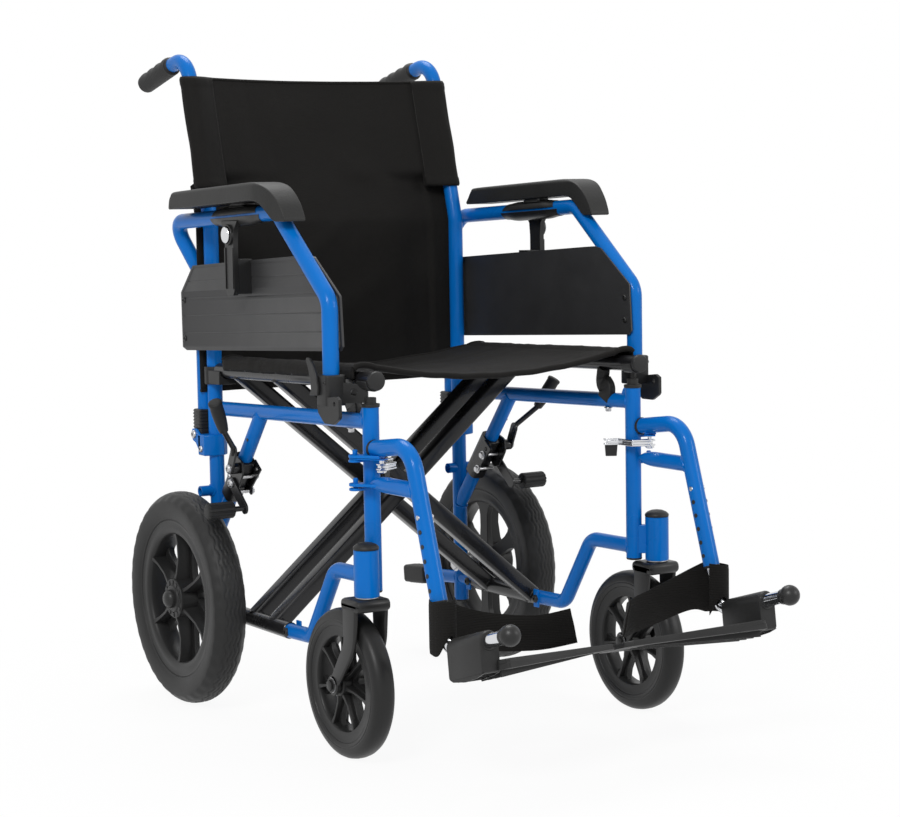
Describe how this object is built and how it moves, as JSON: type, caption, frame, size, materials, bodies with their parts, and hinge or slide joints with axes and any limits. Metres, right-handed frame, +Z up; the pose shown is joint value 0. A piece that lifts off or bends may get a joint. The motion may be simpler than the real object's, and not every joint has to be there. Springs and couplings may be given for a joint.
{
  "type": "manual wheelchair",
  "caption": "folding attendant wheelchair with a blue steel frame, small rear wheels, black slings, flip-back arms and swing-away legrests",
  "frame": {"origin": "on the floor, under the middle of the chair's box", "axes": "+X the sitter's left, +Y to the rear, +Z up; the chair faces -Y"},
  "size_m": [0.6098, 1.011, 0.9508],
  "materials": {
    "blue_paint": "glossy royal blue powder coat on steel tube",
    "black_paint": "glossy black powder coat on steel",
    "chrome": "bright chrome plate",
    "black_plastic": "moulded black plastic with a fine grain",
    "black_gloss": "smooth black plastic",
    "castor_rubber": "smooth solid tyre on a moulded black wheel",
    "tyre": "treaded black rubber",
    "grip_rubber": "soft black rubber",
    "pad_vinyl": "black vinyl skin with a fine grain",
    "black_cloth": "matt black nylon cloth with sewn hems",
    "webbing": "black woven strap"
  },
  "bodies": {
    "left_frame": {"side_frame_left": "blue_paint", "push_grip_left": "grip_rubber", "tipping_pad_left": "grip_rubber", "castor_cap_left": "black_plastic", "rear_axle_left": "chrome", "front_socket_left": "black_plastic", "seat_saddle_left": "black_plastic", "brake_bracket_left": "black_paint"},
    "right_frame": {"side_frame_right": "blue_paint", "push_grip_right": "grip_rubber", "tipping_pad_right": "grip_rubber", "castor_cap_right": "black_plastic", "rear_axle_right": "chrome", "front_socket_right": "black_plastic", "seat_saddle_right": "black_plastic", "brake_bracket_right": "black_paint", "back_sling": "black_cloth"},
    "brace_inner": {"brace_inner": "black_paint", "seat_sling": "black_cloth"},
    "brace_outer": {"brace_outer": "black_paint"},
    "rear_wheel_left": {"rear_rim_left": "black_plastic", "rear_tyre_left": "tyre"},
    "castor_fork_left": {"castor_fork_left": "black_gloss", "castor_axle_left": "chrome"},
    "castor_wheel_left": {"castor_wheel_left": "castor_rubber"},
    "legrest_bush_left": {"legrest_bush_left": "blue_paint"},
    "legrest_left": {"legrest_hanger_left": "blue_paint"},
    "legrest_latch_left": {"legrest_latch_left": "chrome"},
    "footrest_left": {"footrest_tube_left": "chrome", "footrest_knob_left": "black_gloss", "heel_strap_left": "webbing"},
    "footplate_left": {"footplate_left": "black_plastic"},
    "armrest_left": {"armrest_frame_left": "blue_paint", "armrest_pad_left": "pad_vinyl", "side_panel_left": "black_plastic", "rear_socket_left": "black_paint"},
    "armrest_button_left": {"armrest_button_left": "chrome"},
    "socket_lever_left": {"socket_lever_left": "black_plastic"},
    "brake_lever_left": {"brake_lever_left": "grip_rubber"},
    "brake_shoe_left": {"brake_shoe_left": "grip_rubber"},
    "rear_wheel_right": {"rear_rim_right": "black_plastic", "rear_tyre_right": "tyre"},
    "castor_fork_right": {"castor_fork_right": "black_gloss", "castor_axle_right": "chrome"},
    "castor_wheel_right": {"castor_wheel_right": "castor_rubber"},
    "legrest_bush_right": {"legrest_bush_right": "blue_paint"},
    "legrest_right": {"legrest_hanger_right": "blue_paint"},
    "legrest_latch_right": {"legrest_latch_right": "chrome"},
    "footrest_right": {"footrest_tube_right": "chrome", "footrest_knob_right": "black_gloss", "heel_strap_right": "webbing"},
    "footplate_right": {"footplate_right": "black_plastic"},
    "armrest_right": {"armrest_frame_right": "blue_paint", "armrest_pad_right": "pad_vinyl", "side_panel_right": "black_plastic", "rear_socket_right": "black_paint"},
    "armrest_button_right": {"armrest_button_right": "chrome"},
    "socket_lever_right": {"socket_lever_right": "black_plastic"},
    "brake_lever_right": {"brake_lever_right": "grip_rubber"},
    "brake_shoe_right": {"brake_shoe_right": "grip_rubber"}
  },
  "joints": [
    {"name": "fold", "type": "hinge", "parent": "right_frame", "child": "brace_inner", "pos_m": [-0.2115, 0.14683, 0.133], "axis": [0, -1, 0], "range_deg": [0, 37.5], "deforming": ["seat_sling", "back_sling"]},
    {"name": "brace_pivot", "type": "hinge", "parent": "brace_inner", "child": "brace_outer", "pos_m": [0, 0.14683, 0.31152], "axis": [0, -1, 0], "range_deg": [-75, 0]},
    {"name": "left_frame_hinge", "type": "hinge", "parent": "brace_outer", "child": "left_frame", "pos_m": [0.2115, 0.14683, 0.133], "axis": [0, -1, 0], "range_deg": [0, 37.5]},
    {"name": "rear_wheel_spin_left", "type": "hinge", "parent": "left_frame", "child": "rear_wheel_left", "pos_m": [0.2675, 0.28583, 0.1555], "axis": [1, 0, 0], "continuous": true},
    {"name": "castor_swivel_left", "type": "hinge", "parent": "left_frame", "child": "castor_fork_left", "pos_m": [0.235, -0.18917, 0.2213], "axis": [0, 0, 1], "continuous": true},
    {"name": "castor_spin_left", "type": "hinge", "parent": "castor_fork_left", "child": "castor_wheel_left", "pos_m": [0.235, -0.13757, 0.0995], "axis": [1, 0, 0], "continuous": true},
    {"name": "legrest_clear_left", "type": "hinge", "parent": "left_frame", "child": "legrest_bush_left", "pos_m": [0.237, -0.16917, 0.3945], "axis": [0, 0, 1], "range_deg": [0, 37.5]},
    {"name": "legrest_swing_left", "type": "hinge", "parent": "legrest_bush_left", "child": "legrest_left", "pos_m": [0.237, -0.16917, 0.3945], "axis": [0, 0, -1], "range_deg": [-90, 0]},
    {"name": "latch_release_left", "type": "hinge", "parent": "legrest_bush_left", "child": "legrest_latch_left", "pos_m": [0.2155, -0.20017, 0.39], "axis": [0, 0, -1], "range_deg": [-25, 0], "stiffness_Nm_per_rad": 0.2, "springref_deg": 4.01},
    {"name": "footrest_slide_left", "type": "slide", "parent": "legrest_left", "child": "footrest_left", "axis": [0, 0.2847, 0.9586], "range_m": [-0.05, 0]},
    {"name": "footplate_flip_left", "type": "hinge", "parent": "footrest_left", "child": "footplate_left", "pos_m": [0.2155, -0.35139, 0.1755], "axis": [0, -0.9586, 0.2847], "range_deg": [-90, 0], "deforming": ["heel_strap_left"]},
    {"name": "armrest_flip_left", "type": "hinge", "parent": "left_frame", "child": "armrest_left", "pos_m": [0.246, 0.31503, 0.391], "axis": [1, 0, 0], "range_deg": [-100, 0]},
    {"name": "armrest_button_press_left", "type": "slide", "parent": "armrest_left", "child": "armrest_button_left", "axis": [1, 0, 0], "range_m": [-0.003, 0], "stiffness_N_per_m": 400, "springref_m": 0.001},
    {"name": "socket_release_left", "type": "hinge", "parent": "left_frame", "child": "socket_lever_left", "pos_m": [0.2634, -0.11717, 0.488], "axis": [1, 0, 0], "range_deg": [-20, 0], "stiffness_Nm_per_rad": 0.1, "springref_deg": 4.01},
    {"name": "brake_lever_push_left", "type": "hinge", "parent": "left_frame", "child": "brake_lever_left", "pos_m": [0.2285, 0.18783, 0.352], "axis": [-1, 0, 0], "range_deg": [-45, 0]},
    {"name": "brake_shoe_turn_left", "type": "hinge", "parent": "left_frame", "child": "brake_shoe_left", "pos_m": [0.2285, 0.20599, 0.32844], "axis": [1, 0, 0], "range_deg": [0, 18]},
    {"name": "rear_wheel_spin_right", "type": "hinge", "parent": "right_frame", "child": "rear_wheel_right", "pos_m": [-0.2675, 0.28583, 0.1555], "axis": [1, 0, 0], "continuous": true},
    {"name": "castor_swivel_right", "type": "hinge", "parent": "right_frame", "child": "castor_fork_right", "pos_m": [-0.235, -0.18917, 0.2213], "axis": [0, 0, 1], "continuous": true},
    {"name": "castor_spin_right", "type": "hinge", "parent": "castor_fork_right", "child": "castor_wheel_right", "pos_m": [-0.235, -0.13757, 0.0995], "axis": [1, 0, 0], "continuous": true},
    {"name": "legrest_clear_right", "type": "hinge", "parent": "right_frame", "child": "legrest_bush_right", "pos_m": [-0.237, -0.16917, 0.3945], "axis": [0, 0, -1], "range_deg": [0, 37.5]},
    {"name": "legrest_swing_right", "type": "hinge", "parent": "legrest_bush_right", "child": "legrest_right", "pos_m": [-0.237, -0.16917, 0.3945], "axis": [0, 0, 1], "range_deg": [-90, 0]},
    {"name": "latch_release_right", "type": "hinge", "parent": "legrest_bush_right", "child": "legrest_latch_right", "pos_m": [-0.2155, -0.20017, 0.39], "axis": [0, 0, 1], "range_deg": [-25, 0], "stiffness_Nm_per_rad": 0.2, "springref_deg": 4.01},
    {"name": "footrest_slide_right", "type": "slide", "parent": "legrest_right", "child": "footrest_right", "axis": [0, 0.2847, 0.9586], "range_m": [-0.05, 0]},
    {"name": "footplate_flip_right", "type": "hinge", "parent": "footrest_right", "child": "footplate_right", "pos_m": [-0.2155, -0.35139, 0.1755], "axis": [0, 0.9586, -0.2847], "range_deg": [-90, 0], "deforming": ["heel_strap_right"]},
    {"name": "armrest_flip_right", "type": "hinge", "parent": "right_frame", "child": "armrest_right", "pos_m": [-0.246, 0.31503, 0.391], "axis": [1, 0, 0], "range_deg": [-100, 0]},
    {"name": "armrest_button_press_right", "type": "slide", "parent": "armrest_right", "child": "armrest_button_right", "axis": [-1, 0, 0], "range_m": [-0.003, 0], "stiffness_N_per_m": 400, "springref_m": 0.001},
    {"name": "socket_release_right", "type": "hinge", "parent": "right_frame", "child": "socket_lever_right", "pos_m": [-0.2634, -0.11717, 0.488], "axis": [1, 0, 0], "range_deg": [-20, 0], "stiffness_Nm_per_rad": 0.1, "springref_deg": 4.01},
    {"name": "brake_lever_push_right", "type": "hinge", "parent": "right_frame", "child": "brake_lever_right", "pos_m": [-0.2285, 0.18783, 0.352], "axis": [-1, 0, 0], "range_deg": [-45, 0]},
    {"name": "brake_shoe_turn_right", "type": "hinge", "parent": "right_frame", "child": "brake_shoe_right", "pos_m": [-0.2285, 0.20599, 0.32844], "axis": [1, 0, 0], "range_deg": [0, 18]}
  ],
  "couplings": [
    {"joint": "brace_pivot", "follows": "fold", "ratio": -2},
    {"joint": "left_frame_hinge", "follows": "fold", "ratio": 1},
    {"joint": "legrest_clear_left", "follows": "fold", "ratio": 1},
    {"joint": "brake_shoe_turn_left", "follows": "brake_lever_push_left", "ratio": -0.4},
    {"joint": "legrest_clear_right", "follows": "fold", "ratio": 1},
    {"joint": "brake_shoe_turn_right", "follows": "brake_lever_push_right", "ratio": -0.4}
  ]
}
